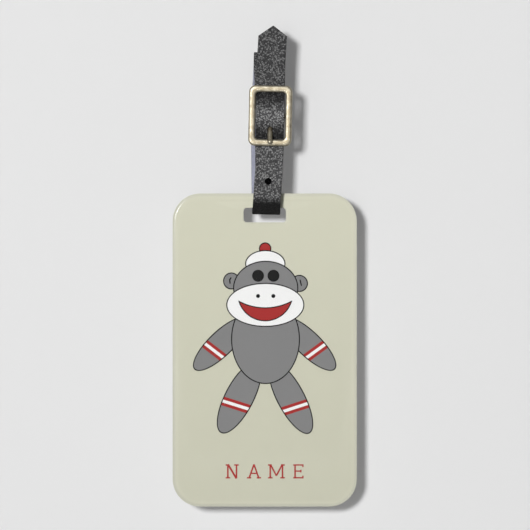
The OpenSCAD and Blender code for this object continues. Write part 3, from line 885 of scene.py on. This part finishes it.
def makeLug(name, x, frontY):
    # ear that holds the centre bar: a half circle round the bar, flanks that flare towards the
    # frame, the outline carried across the rail's width and drawn in at both faces
    s, k = buckleSize, levels
    bow = np.linspace(-np.pi / 2, np.pi / 2, 25)
    t = np.linspace(0, 1, 12)
    r, reach = s["lugRadius"], k["barY"] - frontY
    flare = r * (1 + 0.25 * easing(t))
    y = np.concatenate([r * np.cos(bow), -reach * t[1:], -reach * t[::-1][:-1]])
    z = np.concatenate([r * np.sin(bow), flare[1:], -flare[::-1][:-1]])
    across = np.array([-0.5, -0.5, -0.44, -0.36, 0.36, 0.44, 0.5, 0.5]) * (s["rail"] - 0.1)
    shrink = np.array([0.05, 0.86, 0.95, 1, 1, 0.95, 0.86, 0.05])[:, None]
    rows, cols = len(across), len(y)
    points = np.stack([
        np.broadcast_to((x + across)[:, None], (rows, cols)),
        k["barY"] - reach / 2 + (y + reach / 2) * shrink,
        k["barZ"] + z * shrink], -1)
    edge = np.broadcast_to(0.5 * (shrink < 1), (rows, cols))
    lug = addPiece(name, leaned(points), tubeFaces(rows, cols), {"edge": edge}, sharpAngle=50)
    settle(lug, "strap", "antique_brass", brass, "buckle_frame")


def makeProng():
    # the tongue, and an eye: a rounded strip carried once round the centre bar
    s, k = prongSize, levels
    route, radii = tongueWithTip(s["radius"], taper=0.04)
    edge = np.linspace(0, 0.9, len(route))
    tongue = roundRod("prongTongue", route, radii, attributes={"edge": edge})
    settle(tongue, "prong", "antique_brass", brass, "prong")
    loop, _ = roundRectLoop(s["width"], s["eyeWall"], 0.22, 6, 6)
    turn = np.linspace(0, 2 * np.pi, 72, endpoint=False)[:, None]
    r = strapSize["barRadius"] + strapSize["pinGap"] + s["eyeWall"] / 2 + loop[None, :, 1]
    points = np.stack([
        np.broadcast_to(k["barX"] + loop[None, :, 0], r.repeat(72, 0).shape),
        k["barY"] + r * np.cos(turn), k["barZ"] + r * np.sin(turn)], -1)
    faces = gridFaces(72, len(loop), wrapRows=True, wrapCols=True)
    eye = addPiece("prongEye", leaned(points), faces, {"edge": np.full(72 * len(loop), 0.3)})
    settle(eye, "prong", "antique_brass", brass, "prong")


makeBuckle()
makeProng()
for node in ("centre_bar", "rivet_post", "rivet_cap"):
    finishNode(node, brass)
print("buckle made")


tagSize = {
    "width": 60.0, "height": 102.0, "corner": 9.0,
    "slotWidth": 13.8, "slotHeight": 4.7, "slotDrop": 4.7, "slotCorner": 1.1,
    "airGap": 0.03,  # between the cover and the ink
    "rim": 1.1,     # width of the cover's rounded rim
    "line": (1.2, 1.8, 2.0),  # how far in the painted highlight line starts, ends and has faded
    "rimFall": 0.6,  # how far the rim drops from the face to the side
    "lip": 0.45,    # roundness of the slot's front edge
}


def outlineByAngle(width, height, radius, centre, about, angles):
    # points and normals where rays from about meet the outline, found on a fine copy of it
    points, normals = roundRectLoop(width, height, radius, 400, 600)
    points = points + centre
    a = np.unwrap(np.arctan2(points[:, 1] - about[1], points[:, 0] - about[0]))
    order = np.argsort(a % (2 * np.pi))
    keys = (a % (2 * np.pi))[order]

    def pick(values):
        return np.interp(angles, keys, values[order], period=2 * np.pi)

    p = np.stack([pick(points[:, 0]), pick(points[:, 1])], -1)
    n = np.stack([pick(normals[:, 0]), pick(normals[:, 1])], -1)
    return p, n / np.linalg.norm(n, axis=1)[:, None]


def makeCover():
    # clear front: rays from the middle of the slot meet the tag's outline and the slot's
    # outline, and a closed section runs between the two, its outer edge a quarter ellipse
    s = tagSize
    tagCentre = np.array([(coreLow[0] + coreHigh[0]) / 2, (coreLow[2] + coreHigh[2]) / 2])
    slotCentre = np.array([tagCentre[0], coreHigh[2] - s["slotDrop"] - s["slotHeight"] / 2])
    outerPts, _ = roundRectLoop(s["width"], s["height"], s["corner"], 26, 24)
    holePts, _ = roundRectLoop(s["slotWidth"], s["slotHeight"], s["slotCorner"], 10, 6)
    outerPts = outerPts + tagCentre
    holePts = holePts + slotCentre
    rays = [np.arctan2(p[:, 1] - slotCentre[1], p[:, 0] - slotCentre[0]) % (2 * np.pi)
            for p in (outerPts, holePts)]
    angles = np.unique(np.round(np.concatenate(rays), 5))
    po, no = outlineByAngle(s["width"], s["height"], s["corner"], tagCentre, slotCentre, angles)
    ph, nh = outlineByAngle(
        s["slotWidth"], s["slotHeight"], s["slotCorner"], slotCentre, slotCentre, angles)
    front, back = coverLow[1], coverHigh[1] - s["airGap"]
    q = np.linspace(0, np.pi / 2, 10)
    rimInset = s["rim"] * (1 - np.sin(q))          # 0 at the side, the rim's width at the face
    rimDepth = s["rimFall"] * (1 - np.cos(q))
    loops, rim, line = [], [], []

    def add(base, away, inset, y, rimValue, lineValue=0):
        loops.append(np.column_stack([
            base[:, 0] - inset * away[:, 0], np.full(len(base), y), base[:, 1] - inset * away[:, 1]]))
        rim.append(np.full(len(base), rimValue))
        line.append(np.full(len(base), lineValue))

    add(po, no, 0.0, back, 0)
    add(po, no, 0.0, (back + front + s["rimFall"]) / 2, 1)
    for inset, fall in zip(rimInset[::-1], rimDepth[::-1]):
        add(po, no, inset, front + fall, 1 if fall > 0.01 else 0)
    for inset, value in zip(s["line"], (1, 1, 0)):
        add(po, no, inset, front, 0, value)
    for a in np.linspace(0, np.pi / 2, 6):
        add(ph, nh, -s["lip"] * (1 - np.sin(a)), front + s["lip"] * (1 - np.cos(a)), 1 if a > 0 else 0)
    add(ph, nh, 0.0, back, 0)
    rows, cols = len(loops), len(angles)
    faces = gridFaces(rows, cols, wrapRows=True, wrapCols=True)
    cover = addPiece("coverAcrylic", np.array(loops), faces, {
        "rim": np.array(rim), "line": np.array(line)}, sharpAngle=35)
    settle(cover, "tag", "clear_acrylic", acrylic, "front_cover")


def bevelledCopy(name, node, width, segments, body, slotName, material):
    obj = frame["nodes"][node]
    mesh = obj.data.copy()
    work = bmesh.new()
    work.from_mesh(mesh)
    bmesh.ops.remove_doubles(work, verts=work.verts, dist=1e-6)
    bmesh.ops.dissolve_limit(work, angle_limit=math.radians(1), verts=work.verts, edges=work.edges)
    work.to_mesh(mesh)
    work.free()
    mesh.name = name
    piece = bpy.data.objects.new(name, mesh)
    scene.collection.objects.link(piece)
    bevel = piece.modifiers.new("soft edges", "BEVEL")
    bevel.width = width * mm
    bevel.segments = segments
    bevel.limit_method = "ANGLE"
    bevel.angle_limit = math.radians(50)
    mesh.shade_smooth()
    mesh.set_sharp_from_angle(angle=math.radians(35))
    settle(piece, body, slotName, material, node)
    return piece


ruleSize = {
    "count": 6, "first": 26.0, "gap": 11.0,  # rules down the card, from its top edge
    "inset": 6.0, "line": 0.4, "proud": 0.02,
}


def makeRules():
    # writing rules on the card's rear: round-ended bars a hair proud of it
    s = ruleSize
    low, high = (np.array(c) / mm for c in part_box("contact_card"))
    loop, _ = roundRectLoop(high[0] - low[0] - 2 * s["inset"], s["line"], s["line"] * 0.49, 8, 6)
    count = len(loop)
    points, faces = [], []
    for k in range(s["count"]):
        z = high[2] - s["first"] - k * s["gap"]
        for y in (high[1] - s["proud"] / 2, high[1] + s["proud"]):
            points.append(np.stack([
                loop[:, 0] + (low[0] + high[0]) / 2, np.full(count, y), loop[:, 1] + z], -1))
        start = 2 * k * count
        faces += [[start + v for v in face] for face in gridFaces(2, count, wrapCols=True)]
        faces += [[start + v for v in range(count)][::-1], [start + count + v for v in range(count)]]
    rules = addPiece("cardRules", np.concatenate(points), faces)
    settle(rules, "card", "grey_ink", inks["print_grey"])


makeCover()
makeRules()
bevelledCopy("rearWindow", "rear_window", 0.25, 3, "tag", "clear_acrylic", acrylic)
finishNode("core_plate", whitePlastic)
finishNode("spacer_frame", whitePlastic)
finishNode("picture_card", sage)
for node, ink in inks.items():
    finishNode(node, ink)
bevelledCopy("contactCard", "contact_card", 0.08, 2, "card", "card_stock", cardStock)
print("tag made")
